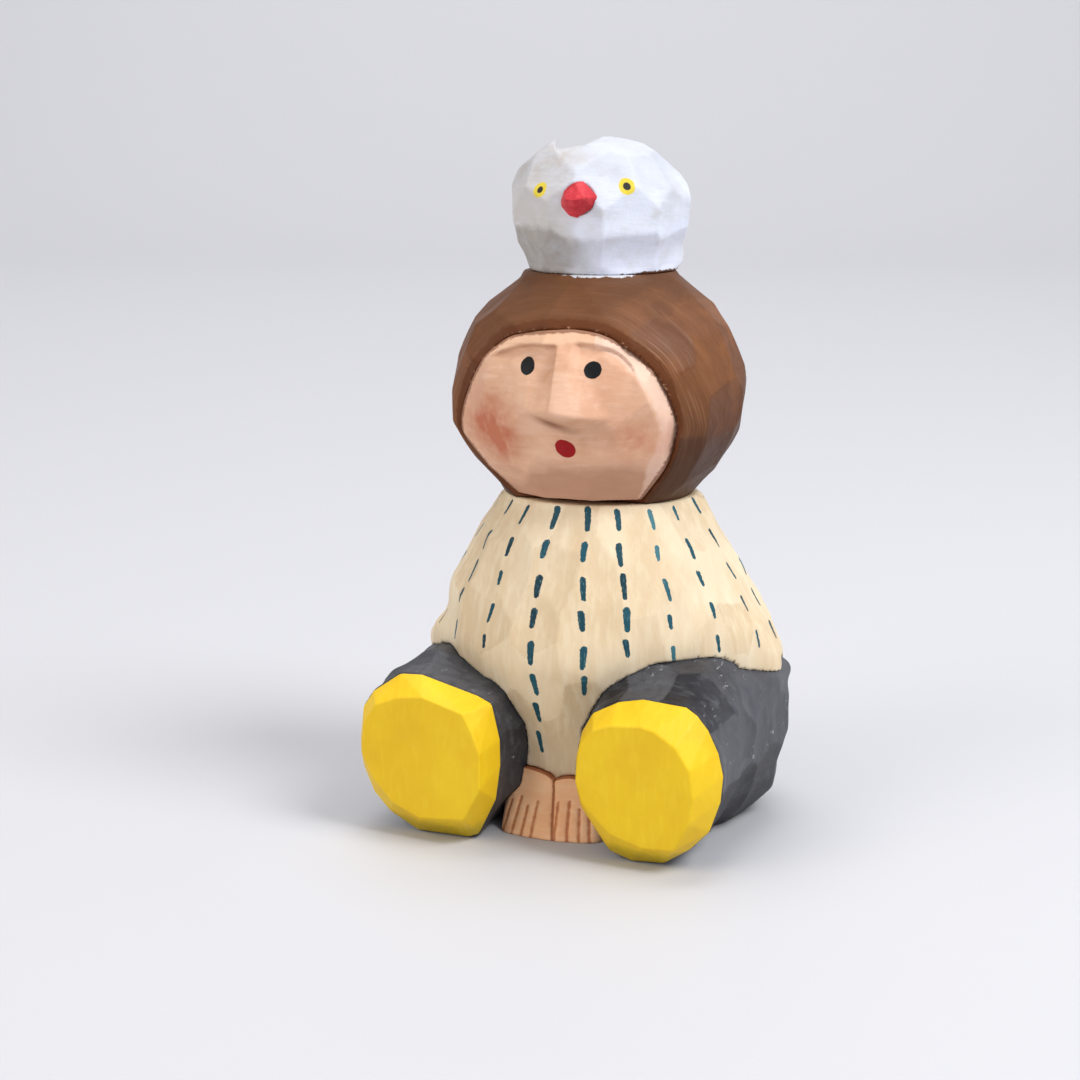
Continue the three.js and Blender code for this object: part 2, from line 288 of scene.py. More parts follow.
def carve(name, low, high, step, form, detail, band=1.6, yaw=0.0):
    """A carved piece, turned by yaw, and its points as they are before that turn. form gives
    rough distances anywhere, and detail the exact ones near the surface."""
    step = step * QUICK_COARSER
    margin = 2.5 * step
    low = np.asarray(low, float) - margin
    counts = np.ceil((np.asarray(high, float) + margin - low) / step).astype(int) + 1
    axes = [low[a] + step * np.arange(counts[a]) for a in range(3)]
    p = np.stack(np.meshgrid(*axes, indexing="ij"), -1)
    values = form(p)
    near = np.abs(values) < band
    values[near] = detail(p[near])
    vertices, quads = surface_net(values, low, step)
    probe = 0.02
    here = detail(vertices)
    slope = np.stack([detail(vertices + probe * np.eye(3)[a]) - here for a in range(3)], 1) / probe
    move = -(here / np.maximum((slope ** 2).sum(1), 0.2))[:, None] * slope
    reach, furthest = np.linalg.norm(move, axis=1), 0.6 * step
    move *= np.minimum(1, furthest / np.maximum(reach, 1e-9))[:, None]
    mesh = bpy.data.meshes.new(name)
    mesh.from_pydata((turn(vertices + move, yaw) * MM).tolist(), [], quads.tolist())
    mesh.validate()
    mesh.update()
    mesh.polygons.foreach_set("use_smooth", [True] * len(mesh.polygons))
    keep_largest_shell(mesh)
    piece = add(name, mesh)
    return piece, turn(points_of(piece), -yaw)


def points_of(piece):
    co = np.zeros(len(piece.data.vertices) * 3)
    piece.data.vertices.foreach_get("co", co)
    return co.reshape(-1, 3) / MM


def store(piece, **values):
    """Keeps numbers per vertex for the materials."""
    for name, numbers in values.items():
        attribute = piece.data.attributes.new(name, "FLOAT", "POINT")
        attribute.data.foreach_set("value", np.asarray(numbers, np.float32))


def keep_largest_shell(data):
    mesh = bmesh.new()
    mesh.from_mesh(data)
    unseen, shells = set(mesh.faces), []
    while unseen:
        shell, todo = [], [unseen.pop()]
        while todo:
            face = todo.pop()
            shell.append(face)
            beside = {other for edge in face.edges for other in edge.link_faces} & unseen
            unseen -= beside
            todo += beside
        shells.append(shell)
    for shell in sorted(shells, key=len)[:-1]:
        bmesh.ops.delete(mesh, geom=shell, context="FACES")
    bmesh.ops.delete(mesh, geom=[v for v in mesh.verts if not v.link_faces], context="VERTS")
    bmesh.ops.recalc_face_normals(mesh, faces=mesh.faces)
    mesh.to_mesh(data)
    mesh.free()


def keep_side(piece, point, normal):
    """Saws the piece along a plane and keeps what lies on the side that normal points to."""
    mesh = bmesh.new()
    mesh.from_mesh(piece.data)
    everything = mesh.verts[:] + mesh.edges[:] + mesh.faces[:]
    bmesh.ops.bisect_plane(mesh, geom=everything, dist=1e-7, plane_co=Vector(point) * MM,
                           plane_no=Vector(normal), clear_inner=True)
    open_edges = [e for e in mesh.edges if e.is_boundary]
    filled = bmesh.ops.holes_fill(mesh, edges=open_edges, sides=0)
    for face in filled["faces"]:
        face.smooth = False
    for edge in open_edges:
        if edge.is_valid:
            edge.smooth = False
    bmesh.ops.triangulate(mesh, faces=[f for f in filled["faces"] if f.is_valid])
    mesh.to_mesh(piece.data)
    mesh.free()


def copy_of(piece, name):
    data = piece.data.copy()
    data.name = name
    return add(name, data)


def hull_piece(name, points, bevel_width, sharp_angle):
    """A block with flat sides between the points, its arrises rubbed round a little."""
    mesh = bmesh.new()
    verts = [mesh.verts.new(Vector(p) * MM) for p in points]
    bmesh.ops.convex_hull(mesh, input=verts)
    bmesh.ops.delete(mesh, geom=[v for v in mesh.verts if not v.link_faces], context="VERTS")
    bmesh.ops.dissolve_limit(mesh, angle_limit=math.radians(4), verts=mesh.verts, edges=mesh.edges)
    bmesh.ops.recalc_face_normals(mesh, faces=mesh.faces)
    data = bpy.data.meshes.new(name)
    mesh.to_mesh(data)
    mesh.free()
    piece = add(name, data)
    bevel = piece.modifiers.new("arris", "BEVEL")
    bevel.width = bevel_width * MM
    bevel.segments = 3
    bevel.limit_method = "ANGLE"
    bevel.angle_limit = math.radians(sharp_angle)
    bevel.harden_normals = True
    return piece


def finish_piece(piece, body, slot_name, material, *nodes):
    piece.data.materials.clear()
    piece.data.materials.append(material)
    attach(piece, body)
    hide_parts(*nodes)


# ---- seat and legs

class Leg:
    """A stub leg. Its section is the outline of its sole, growing towards the seat."""

    def __init__(self, side, rim, flat, flat_plane):
        self.name = "left" if side > 0 else "right"
        self.side = side
        leg_low, leg_high = mm_box(f"{self.name}_leg")
        self.rim = np.array(rim, float)
        self.flat = np.array(flat, float)
        self.flat_plane = flat_plane
        self.x = (self.rim[:, 0].min() + self.rim[:, 0].max()) / 2
        self.rim_y = leg_low[1]
        width, height = self.rim[:, 0].max() - self.rim[:, 0].min(), self.rim[:, 1].max()
        self.growth = ((leg_high[0] - leg_low[0]) / width - 1, leg_high[2] / height - 1)

    def form(self, p):
        x, y, z = xyz(p)
        t = fade(y, self.rim_y - 2, LEG_JOINT_Y - 2)
        wide = 1 + self.growth[0] * t
        high = (1 + self.growth[1] * t) * (1 - 0.14 * fade(y, LEG_JOINT_Y - 2, 12))
        outer = self.x + self.side * 14
        d = outline_distance(outer + (x - outer) / wide, z / high, self.rim)
        d = d + 0.35 * fade(z, 20, 12) * fade(y, self.rim_y, self.rim_y + 3)
        d = np.maximum(smooth_max(d, FLOOR_GAP - z, 0.3), self.rim_y - y)
        return smooth_max(d, y - 9, 4)


# Outlines of the soles as [x, z], clockwise from the front. The flat lies inside the rim.
LEFT_RIM = ((9.9, 25.6), (14.5, 28.0), (19.0, 28.9), (26.5, 28.3), (28.5, 27.0), (30.4, 24.7),
            (32.3, 20.8), (33.2, 17.0), (32.8, 12.5), (30.9, 7.0), (27.4, 3.4), (22.8, 0.4),
            (17.0, 0.1), (13.0, 1.4), (7.8, 8.6), (6.8, 12.5), (6.9, 17.5), (8.0, 22.2))
LEFT_FLAT = ((11.4, 23.7), (14.5, 24.9), (20.0, 25.4), (22.4, 24.9), (26.2, 22.6), (28.8, 18.8),
             (29.5, 14.0), (28.8, 9.6), (26.0, 4.6), (20.6, 4.3), (14.6, 6.0), (9.6, 10.6),
             (8.3, 14.5), (9.0, 20.6))
RIGHT_RIM = ((-26.5, 28.7), (-22.4, 28.9), (-11.8, 26.1), (-9.1, 24.9), (-7.6, 18.6), (-7.5, 14.0),
             (-8.4, 7.6), (-11.6, 1.0), (-13.6, 0.1), (-23.5, 0.2), (-28.8, 3.0), (-31.9, 6.2),
             (-34.0, 11.0), (-34.5, 16.0), (-33.8, 22.0), (-31.8, 25.0))
RIGHT_FLAT = ((-24.9, 25.5), (-20.0, 26.2), (-12.0, 24.2), (-10.2, 21.0), (-8.8, 17.4), (-8.9, 11.2),
              (-12.2, 5.2), (-20.9, 4.2), (-26.4, 6.2), (-30.6, 10.4), (-32.6, 14.6),
              (-32.2, 19.6), (-29.6, 23.6))
# The plane of a flat is its y in the middle, and the slope of y across and up.
LEGS = [Leg(1, LEFT_RIM, LEFT_FLAT, (-34.5, -0.06, -0.02)),
        Leg(-1, RIGHT_RIM, RIGHT_FLAT, (-33.5, -0.12, -0.02))]
SEAT_TOP = 33
LOWER_SEEDS = np.concatenate([
    ring_seeds(SEAT_PROFILE, (3, 11, 19, 26), 10.5, SEED + 3, SEAT_MIDDLE_Y, SEAT_DEPTH),
    [(leg.x + 15 * math.sin(a) * leg.side, y, 15 + 16 * math.cos(a))
     for leg in LEGS for y in (-25, -14) for a in (-0.9, -0.2, 0.5, 1.3, 2.0)]])


def seat_form(p):
    x, y, z = xyz(p)
    d = (np.hypot(x, (y - SEAT_MIDDLE_Y) / SEAT_DEPTH) - profile(z, SEAT_PROFILE)) * 0.94
    d = smooth_max(d, FLOOR_GAP - z, 0.3)
    d = smooth_max(d, LEG_JOINT_Y - 0.5 - y, 2)
    return np.maximum(d, z - SEAT_TOP)


def lower_form(p):
    x, y, z = xyz(p)
    d = seat_form(p)
    for leg in LEGS:
        d = smooth_min(d, leg.form(p), 4.0)
    d = smooth_max(d, FLOOR_GAP - z, 0.3)
    rims = np.minimum.reduce([np.where(x * leg.side > 0, y - leg.rim_y, 99) for leg in LEGS])
    return np.maximum(d, -rims)


def lower_volume(p):
    return holes(p, lower_form(p), LOWER_DOWELS)


def lower_exact(p):
    x, y, z = xyz(p)
    cuts = cut_height(p, LOWER_SEEDS, 25)
    rim = np.where(x > 0, LEGS[0].rim_y, LEGS[1].rim_y)
    inner = fade(z, 0.2, 2.0) * fade(y, rim + 0.3, rim + 5)
    d = lower_form(p) - (1.2 * np.minimum(cuts, 1.1) - 0.75) * inner
    return holes(p, d + 0.05 * waves(p, 9, SEED + 4) * inner, LOWER_DOWELS)


def build_lower_body():
    """One carved surface for seat and legs, sawn into its three blocks."""
    low = (-37, min(leg.rim_y for leg in LEGS) - 1, 0)
    whole, _ = carve("seat_block_carved", low, (37, 34, 34), 0.45, lower_volume, lower_exact)
    pieces = {}
    for leg in LEGS:
        piece = copy_of(whole, f"{leg.name}_leg_carved")
        keep_side(piece, (0, LEG_JOINT_Y, 0), (0, -1, 0))
        keep_side(piece, (leg.side * 0.2, 0, 0), (leg.side, 0, 0))
        pieces[leg.name] = piece
    keep_side(whole, (0, LEG_JOINT_Y, 0), (0, 1, 0))
    for piece in (whole, *pieces.values()):
        p = points_of(piece)
        store(piece, tone=facet_tone(p, LOWER_SEEDS, SEED + 21), side=p[:, 0])
    return whole, pieces


def build_sole(leg):
    """A thick sole: the flat, a ring of bevels, and the rim that meets the leg."""
    points = [(x, leg.rim_y - 0.02, max(z, FLOOR_GAP)) for x, z in leg.rim]
    middle = leg.flat.mean(0)
    base, across, up = leg.flat_plane
    for x, z in leg.flat:
        points.append((x, base + across * (x - middle[0]) + up * (z - middle[1]), z))
    piece = hull_piece(f"{leg.name}_sole_carved", points, 0.3, 8)
    store(piece, low=points_of(piece)[:, 2])
    return piece


# ---- torso and hands

TORSO_LEAN = 0.4
CUFF_DROP = 2.9
TORSO_STRETCH = (1, 1, 0.5)
TORSO_SEEDS = np.concatenate([
    ring_seeds(TORSO_PROFILE, (30, 38, 46, 53), 7.0, SEED + 5, 1.5, 0.9, 0.35),
    ((-4.8, -21.6, 18), (0.6, -22, 15), (4.8, -22.4, 22), (-1.5, -23.6, 27))])


def torso_place(p):
    """Angle round the torso, 0 at the front and growing towards +X, and its radius there."""
    x, y, z = xyz(p)
    t = np.clip((COLLAR_Z - z) / (COLLAR_Z - HEM_Z), -0.2, 1)
    across = x + TORSO_LEAN * fade(z, 48, 28) - 0.5 * fade(z, 50, 57)
    ahead = -(y - SEAT_MIDDLE_Y * t) / (0.95 - 0.07 * t)
    return np.arctan2(across, ahead), np.hypot(across, ahead)


def front_limit(x, z):
    """How far forward the sweater reaches. It tucks in below the belly, towards the hands."""
    return -20.8 - 2.2 * fade(z, 12, 25) - 4.6 * fade(z, 21, 37) + 0.022 * x * x


def hem_flare(angle, z):
    """The figure's right side is cut in above the hem, and runs out over the thigh below that."""
    there = np.exp(-((angle + math.radians(72)) / math.radians(36)) ** 2)
    return there * (1.6 * fade(z, 31.5, 27.5) - 2.1 * np.exp(-((z - 35.2) / 3.6) ** 2))


def torso_form(p):
    x, y, z = xyz(p)
    angle, radius = torso_place(p)
    d = (radius - profile(z, TORSO_PROFILE) - hem_flare(angle, z)) * 0.93
    d = smooth_max(d, front_limit(x + 0.6, z) - y, 4)
    return most(d, CUFF_Z - CUFF_DROP - z, z - COLLAR_Z)


def hand_form(p):
    """Both hands, flat on the ground, between the legs and under them."""
    x, y, z = xyz(p)
    x = x + 0.6
    front = -20.6 - 4.6 * fade(z, 11, -1.5) + 0.02 * x * x
    return smooth_max(smooth_max(np.abs(x) - 9.6, front - y, 2.0), FLOOR_GAP - z, 0.3)


def cuff_height(p):
    """Height of the end of the sleeves across the front: two shallow arches."""
    x = p[..., 0]
    left = CUFF_Z - 2.3 + 1.9 * np.sqrt(np.clip(1 - ((x - 2.4) / 3.7) ** 2, 0, 1))
    right = CUFF_Z - 1.6 + 2.0 * np.sqrt(np.clip(1 - ((x + 6.4) / 5.6) ** 2, 0, 1))
    return np.where(x > HAND_SPLIT_X, left, right)


def torso_volume(p):
    return holes(p, np.maximum(torso_form(p), -lower_form(p)), TORSO_DOWELS)


def torso_exact(p):
    z = p[..., 2]
    cuts = cut_height(p, TORSO_SEEDS, 19, TORSO_STRETCH)
    inner = fade(z, COLLAR_Z + 0.1, COLLAR_Z - 1.2)
    d = torso_form(p) - (1.35 * np.minimum(cuts, 0.8) - 0.45) * inner
    d = d + 0.06 * waves(p, 11, SEED + 6) * inner
    return holes(p, most(d, cuff_height(p) - z, JOINT_GAP - lower_exact(p)), TORSO_DOWELS)


def build_torso():
    low, high = (-35, -28.5, CUFF_Z - CUFF_DROP), (35, 33, COLLAR_Z)
    piece, p = carve("torso_carved", low, high, 0.42, torso_volume, torso_exact)
    dash, dash_tone = dashes_at(p)
    store(piece, dash=dash, dash_tone=dash_tone, hem=lower_exact(p),
          tone=facet_tone(p, TORSO_SEEDS, SEED + 22, TORSO_STRETCH),
          cuff=np.where(p[:, 1] < -15, p[:, 2] - cuff_height(p), 9))
    return piece


def finger_lines(p):
    """Distance to the nearest line between two fingers, on the backs of the hands."""
    x, _, z = xyz(p)
    d = np.full(x.shape, 9.0)
    rng = np.random.default_rng(SEED + 8)
    for side, starts in ((1, (1.5, 3.3, 4.9, 6.3)), (-1, (1.9, 3.4, 4.9, 6.4))):
        for start in starts:
            line = HAND_SPLIT_X + side * start * (1 + 0.028 * (CUFF_Z - z))
            top = rng.uniform(4.6, 6.8)
            d = np.minimum(d, np.hypot(x - line, np.maximum(z - top, 0)))
    return d


def split_distance(p):
    """Distance to the line between the two hands."""
    return np.abs(p[..., 0] - HAND_SPLIT_X - HAND_SPLIT_SLOPE * (CUFF_Z - p[..., 2]))


def hand_exact(p):
    _, y, z = xyz(p)
    d = np.maximum(hand_form(p), y - LEG_JOINT_Y)
    d = smooth_max(d, z - cuff_height(p) + 0.05, 0.1)
    width = 0.35
    groove = (0.2 * np.exp(-(finger_lines(p) / width) ** 2)
              + 0.4 * np.exp(-(split_distance(p) / width) ** 2))
    d = d + groove * fade(z, 0.2, 2.2) + 0.05 * waves(p, 4, SEED + 9)
    return most(d, FLOOR_GAP - z, JOINT_GAP - lower_exact(p))


def hand_volume(p):
    _, y, z = xyz(p)
    return most(hand_form(p), -lower_form(p), y - LEG_JOINT_Y, z - CUFF_Z - 2)


def build_hands():
    """Both hands in one, sawn apart along a line that leans a little."""
    low, high = (-11, -27, 0), (11, LEG_JOINT_Y, CUFF_Z + 3)
    whole, _ = carve("hands", low, high, 0.25, hand_volume, hand_exact)
    pieces = {}
    for leg in LEGS:
        piece = copy_of(whole, f"{leg.name}_hand_carved")
        keep_side(piece, (HAND_SPLIT_X + HAND_SPLIT_SLOPE * CUFF_Z, 0, 0),
                  (leg.side, 0, leg.side * HAND_SPLIT_SLOPE))
        p = points_of(piece)
        store(piece, finger=finger_lines(p),
              outline=np.minimum(split_distance(p), np.abs(cuff_height(p) - p[:, 2])))
        pieces[leg.name] = piece
    bpy.data.objects.remove(whole)
    return pieces


# Painted dashes run down the sweater in columns. The angles are degrees round the torso, at the
# collar and at the hem.
FRONT_COLUMNS = ((-46, -44), (-26.5, -24.5), (-7.5, -4.8), (11.5, 12.2), (28, 26.5), (46.5, 41.5),
                 (64, 61), (87, 79), (104, 97))
COLUMN_STEP = 17.5
# By the number of the column: how far apart the dashes start, and the height above which they do.
DASH_PITCH, DASH_PITCHES = 5.5, {2: 5.7, 3: 5.6, 4: 5.2}
LAST_DASH, LAST_DASHES = 32.0, {1: 33.5, 2: 13.0, 3: 25.0, 4: 33.0, 5: 34.5}
BOLD_COLUMNS = (2, 3, 4)
PALE_COLUMNS = (5, 6)


def dash_list():
    """Every dash as (top angle, bottom angle, top height, bottom height, half width, tone)."""
    rng = np.random.default_rng(SEED + 10)
    columns = list(FRONT_COLUMNS)
    while columns[-1][1] + COLUMN_STEP * 1.5 < 360 + FRONT_COLUMNS[0][0]:
        columns.append((columns[-1][1] + COLUMN_STEP + 2, columns[-1][1] + COLUMN_STEP))
    dashes = []
    for number, (upper, lower) in enumerate(columns):
        bold = number in BOLD_COLUMNS
        top = COLLAR_Z - rng.uniform(0.0, 0.8)
        while top > LAST_DASHES.get(number, LAST_DASH):
            length = rng.uniform(2.6, 4.1) + (0.5 if bold else 0)
            share = (COLLAR_Z - top) / (COLLAR_Z - 30)
            angle = upper + (lower - upper) * min(share, 1.0) - 5 * max(share - 1, 0)
            angle = math.radians(angle + rng.uniform(-0.6, 0.6))
            lean = math.radians(rng.uniform(-0.5, 0.5))
            half = rng.uniform(0.4, 0.54) + (0.14 if bold else 0)
            tone = rng.uniform(0, 1) + (0.7 if number in PALE_COLUMNS else 0)
            dashes.append((angle + lean, angle - lean, top, top - length, half, tone))
            top -= DASH_PITCHES.get(number, DASH_PITCH) + rng.uniform(-0.4, 0.4)
    return dashes


def dashes_at(p):
    """Distance from the edge of the nearest dash, and its tone."""
    angle, _ = torso_place(p)
    z = p[:, 2]
    size = profile(np.maximum(z, 30.0), TORSO_PROFILE)
    nearest, tones = np.full(len(p), 9.0), np.zeros(len(p))
    for upper, lower, top, bottom, half, tone in dash_list():
        t = np.clip((top - z) / (top - bottom), 0, 1)
        turned = (angle - upper - (lower - upper) * t + math.pi) % (2 * math.pi) - math.pi
        along = np.maximum(np.abs(z - (top + bottom) / 2) - (top - bottom) / 2 + half, 0)
        d = np.hypot(turned * size, along) - half * (1.12 - 0.4 * t)
        tones = np.where(d < nearest, tone, tones)
        nearest = np.minimum(nearest, d)
    return nearest, tones


# ---- head

# Outline of the face in the hair, as [x, z] from the front, clockwise.
OPENING = np.array(((-11.1, 58.5), (-18.8, 63.4), (-21.2, 67.0), (-21.4, 72.0), (-20.5, 75.8),
                    (-17.7, 80.9), (-14.3, 85.1), (-10.5, 87.7), (-5.5, 88.9), (-1.0, 89.2),
                    (3.0, 89.1), (6.6, 88.5), (10.0, 86.9), (13.6, 83.8), (16.2, 80.3),
                    (17.8, 76.4), (18.5, 72.6), (17.5, 68.6), (15.2, 64.2), (11.1, 59.0),
                    (8.0, 55.0), (-8.0, 55.0)))
OPENING_MIDDLE = (-1.0, 73.0)
SKIN_DEPTH = 0.85
RIM_SLOPE = 2.3
HAIR_SEEDS = ring_seeds(HAIR_PROFILE, (60, 67.5, 76, 85, 92.5, 97), 11.5, SEED + 11, jitter=0.28)
# Middles of the knife cuts on the face, as [x, z] from the front.
FACE_SEEDS = front_seeds(
    ((-10, 60.3), (-1, 60), (8, 60.5), (-15.2, 69.8), (-4.5, 69.5), (5.5, 69.5), (13, 70),
     (20.5, 71), (-19, 77), (-11.5, 79), (-1, 80), (8.5, 79), (19.5, 80), (-9, 89), (2, 90),
     (11.5, 88)), HAIR_PROFILE)


def opening_distance(p):
    """Distance from the outline of the face, looking from the front. It is negative inside."""
    return outline_distance(p[..., 0], p[..., 2], OPENING, 0.5) + 0.2 * waves(p, 9, SEED + 14)


def head_form(p):
    """The round head without its opening."""
    x, y, z = xyz(p)
    d = (np.hypot(x, y) - profile(z, HAIR_PROFILE)) * 0.9
    return most(d, z - HEAD_TOP, HEAD_BOTTOM - z)


def hair_skin(p):
    """The hair's outer surface with its knife cuts."""
    z = p[..., 2]
    cuts = cut_height(p, HAIR_SEEDS, 27, (1, 1, 0.9))
    inner = fade(z, HEAD_BOTTOM, HEAD_BOTTOM + 2.5) * fade(z, HEAD_TOP, HEAD_TOP - 1.5)
    d = head_form(p) - (1.15 * np.minimum(cuts, 1.5) - 0.8) * inner
    return d + 0.07 * waves(p, 8, SEED + 12) * inner


def hair_volume(p):
    front = np.maximum(opening_distance(p), p[..., 1] - FACE_BACK_Y)
    return holes(turn(p, HEAD_YAW), np.maximum(head_form(p), -front), HAIR_DOWELS)


def hair_exact(p):
    x, y, z = xyz(p)
    outer = most(hair_skin(p), z - HEAD_TOP, HEAD_BOTTOM - z)
    rise = np.clip(outer + SKIN_DEPTH, -1, SKIN_DEPTH + 1)
    rough = 0.1 * waves(p, 1.8, SEED + 13) * np.clip(rise, 0, 1)
    cut = opening_distance(p) - RIM_SLOPE * np.maximum(rise, 0) * rim_width(x, z) + rough
    d = smooth_max(outer, -np.maximum(cut, y - FACE_BACK_Y), 0.25)
    return holes(turn(p, HEAD_YAW), d, HAIR_DOWELS)


def rim_width(x, z):
    """The bevel round the face is wide over the brow and thin beside the cheeks."""
    left = fade(x, 0, -8)
    return 0.45 + 0.3 * left + (0.75 - 0.3 * left) * fade(z, 69, 84)


def brow_height(x):
    left = 86.6 - 0.028 * np.maximum(-4.5 - x, 0) ** 2
    right = 87.0 - 0.016 * np.maximum(x - 2, 0) ** 2 - 0.0003 * np.maximum(x - 2, 0) ** 4
    return np.where(x < 0.3, left, right)


def face_features(p, d):
    """Adds the nose, eye hollows and muzzle to the round surface of the face."""
    x, y, z = xyz(p)
    front = fade(y, -14, -19)
    brow = brow_height(x)
    under = fade(z, brow + 0.35, brow - 0.35)
    left = fade(x, -15, -11) * fade(x, -0.9, -1.7)
    right = fade(x, 12.8, 11.4) * fade(x, 1.2, 3.0)
    hollow = under * fade(z, 77, 86) * (1.15 * left + 0.9 * right)
    nose_side = fade(x, -8.5, -4.0) * fade(z, 74.5, 78) * fade(z, 86.5, 84) * left
    muzzle = spot(x - 0.5, z - 70.2, 9.5, 3.6)
    d = d + (hollow + 0.55 * nose_side + 0.6 * muzzle) * front
    strip = fade(x, 6, 11) * fade(z, 62, 66)
    d = d + strip * 0.42 * np.maximum(2.6 + opening_distance(p), 0)
    # The nose widens from t = 0 between the brows to t = 1 at its tip.
    t = np.clip((86.6 - z) / 9.6, 0, 1.2)
    left_foot, left_edge = -1.2 - 3.6 * t, -0.8 - 1.3 * t
    right_edge, right_foot = 0.4 + 2.0 * t, 1.8 + 5.4 * t
    nose = smooth_min((x - left_foot) / (left_edge - left_foot),
                      (right_foot - x) / (right_foot - right_edge), 0.5)
    nose = 2.75 * t * smooth_min(nose, np.ones_like(nose), 0.5)
    tip = (z - 73.4 + 0.12 * x - 0.032 * (x - 0.8) ** 2) * 1.5
    nose = smooth_min(nose, tip, 1.3)
    return d - smooth_max(nose, np.zeros_like(nose), 0.4) * front


def face_volume(p):
    d = most(head_form(p) + SKIN_DEPTH * 0.9, opening_distance(p) + 0.1, p[..., 1] - FACE_BACK_Y)
    return holes(turn(p, HEAD_YAW), d, ("face_dowel",))


def face_exact(p):
    _, y, z = xyz(p)
    cuts = cut_height(p, FACE_SEEDS, 26, (1, 1, 0.85))
    inner = fade(z, HEAD_BOTTOM, HEAD_BOTTOM + 2.5)
    skin = head_form(p) + SKIN_DEPTH - (1.2 * np.minimum(cuts, 1.0) - 0.5) * inner
    skin = face_features(p, skin + 0.05 * waves(p, 7, SEED + 16) * inner)
    d = most(skin, HEAD_BOTTOM - z, opening_distance(p) + 0.02, y - FACE_BACK_Y + 0.1)
    return holes(turn(p, HEAD_YAW), d, ("face_dowel",))


def build_hair():
    low, high = (-27.5, -27.5, HEAD_BOTTOM), (27.5, 27.5, HEAD_TOP)
    piece, p = carve("hair_carved", low, high, 0.42, hair_volume, hair_exact, 2.6, HEAD_YAW)
    x, y, z = xyz(p)
    round_face = np.arctan2(x - OPENING_MIDDLE[0], z - OPENING_MIDDLE[1])
    across, depth, _ = xyz(turn(p, -VIEW_TURN))
    # height, lower on the figure's left, places the painted shade low on the hair.
    store(piece, tone=facet_tone(p, HAIR_SEEDS, SEED + 23), from_face=opening_distance(p),
          rim=np.where(y < FACE_BACK_Y + 1, -hair_skin(p), 0), across_face=np.sin(round_face),
          up_face=np.cos(round_face), behind=fade(y, -14, 0), height=z - 0.2 * x,
          from_bird=HEAD_TOP - z + 1.3 * fade(-depth, 13, 6) + 0.004 * across ** 2)
    return piece


def oval(p, x, z, half_x, half_z, turned=0.0):
    """Distance from the edge of a painted oval on the front."""
    u, v = p[:, 0] - x, p[:, 2] - z
    c, s = math.cos(turned), math.sin(turned)
    r = np.hypot((c * u - s * v) / half_x, (s * u + c * v) / half_z)
    return np.where(p[:, 1] < -8, (r - 1) * min(half_x, half_z), 9)


def build_face():
    low, high = (-22, -28.5, HEAD_BOTTOM), (22, FACE_BACK_Y, OPENING[:, 1].max() + 0.5)
    piece, p = carve("face_carved", low, high, 0.32, face_volume, face_exact, 4.0, HEAD_YAW)
    x, _, z = xyz(p)
    edge = -opening_distance(p)
    blush = (1.15 * spot(x + 13.6, z - 73.0, 5.2, 4.6) + 0.7 * spot(x + 11.6, z - 68.4, 3.4, 2.8)
             + 0.58 * spot(x - 12.8, z - 71.0, 5.6, 4.4))
    # Some of these numbers place painted light and shade: light above the brows, shade under the
    # chin, light on the side of the face on the figure's left, a shadow under the nose and a
    # highlight beside its tip.
    store(piece, tone=facet_tone(p, FACE_SEEDS, SEED + 24), edge=edge, blush=blush,
          eye=np.minimum(oval(p, -6.4, 83.1, 1.3, 1.5, 0.05), oval(p, 5.3, 82.9, 1.4, 1.45)),
          mouth=oval(p, 0.5, 69.4, 1.9, 1.5, 0.5), forehead=z - brow_height(x),
          strip=np.where(x > 5, edge + 0.25 * np.maximum(67 - z, 0), 9),
          height=z - 0.03 * x + 4.0 * fade(x, -4.5, -10),
          under_nose=spot(x + 1.2, z - 73.7 + 0.28 * (x + 1.5), 3.2, 0.8),
          tip=spot(x - 1.6, z - 77.6, 2.6, 2.6))
    return piece


# ---- bird

BIRD_SEEDS = np.concatenate([
    ring_seeds(BIRD_PROFILE, (108, 114.5, 119.5), 9.5, SEED + 17, jitter=0.25),
    ring_seeds(BIRD_PROFILE, (101.2,), 11.5, SEED + 18, jitter=0.25)])
# Height of the edge of the painted shade under the belly, [degrees round from the front, height].
BELLY_SHADE_LINE = ((-180, 105.5), (-90, 106.0), (-44, 106.0), (-19, 105.8), (-6, 103.6), (7, 104.4),
              (27, 105.8), (46, 105.8), (80, 107.3), (180, 105.5))
# Side, height and degrees round from the bird's front.
BIRD_EYES = ((-1, 112.2, -31), (1, 112.9, 29.8))
BEAK_X, BEAK_Z = -0.55, 110.8
BEAK_SEAT_Y, BEAK_TIP_Y = -14.6, -17.9
# The chip that stands on the crown: x at its steep side, its tip, and the slope of that side.
CHIP_X = -8.3
CHIP_TOP = BIRD_TOP - 0.7
CHIP_SIDE = 0.35


def bird_form(p):
    """A round body that leans a little to the figure's right at the crown."""
    x, y, z = xyz(p)
    lean = 1.1 * fade(z, 107, 119) - 0.5 * fade(z, 103, 98)
    r = np.hypot(x + lean * math.cos(VIEW_TURN), y + lean * math.sin(VIEW_TURN))
    return most((r - profile(z, BIRD_PROFILE)) * 0.85, z - BIRD_TOP, BIRD_BOTTOM - z)


def tail_form(p):
    """A short wedge of a tail, low on the back."""
    x, y, z = xyz(p)
    half = 4.3 - 0.08 * (y - 10)
    rise = z - 105.4 - 0.16 * (y - 12)
    thick = 3.9 - 0.34 * (y - 10)
    d = smooth_max(np.abs(x) - half, (np.abs(rise) - thick) * 0.9, 0.6)
    return smooth_max(smooth_max(d, y - 18.6, 0.4), 8 - y, 1)


def bird_and_tail(p):
    return smooth_min(bird_form(p), tail_form(p), 2.0)


def bird_volume(p):
    return holes(turn(p, HEAD_YAW), bird_and_tail(p), ("bird_dowel",))


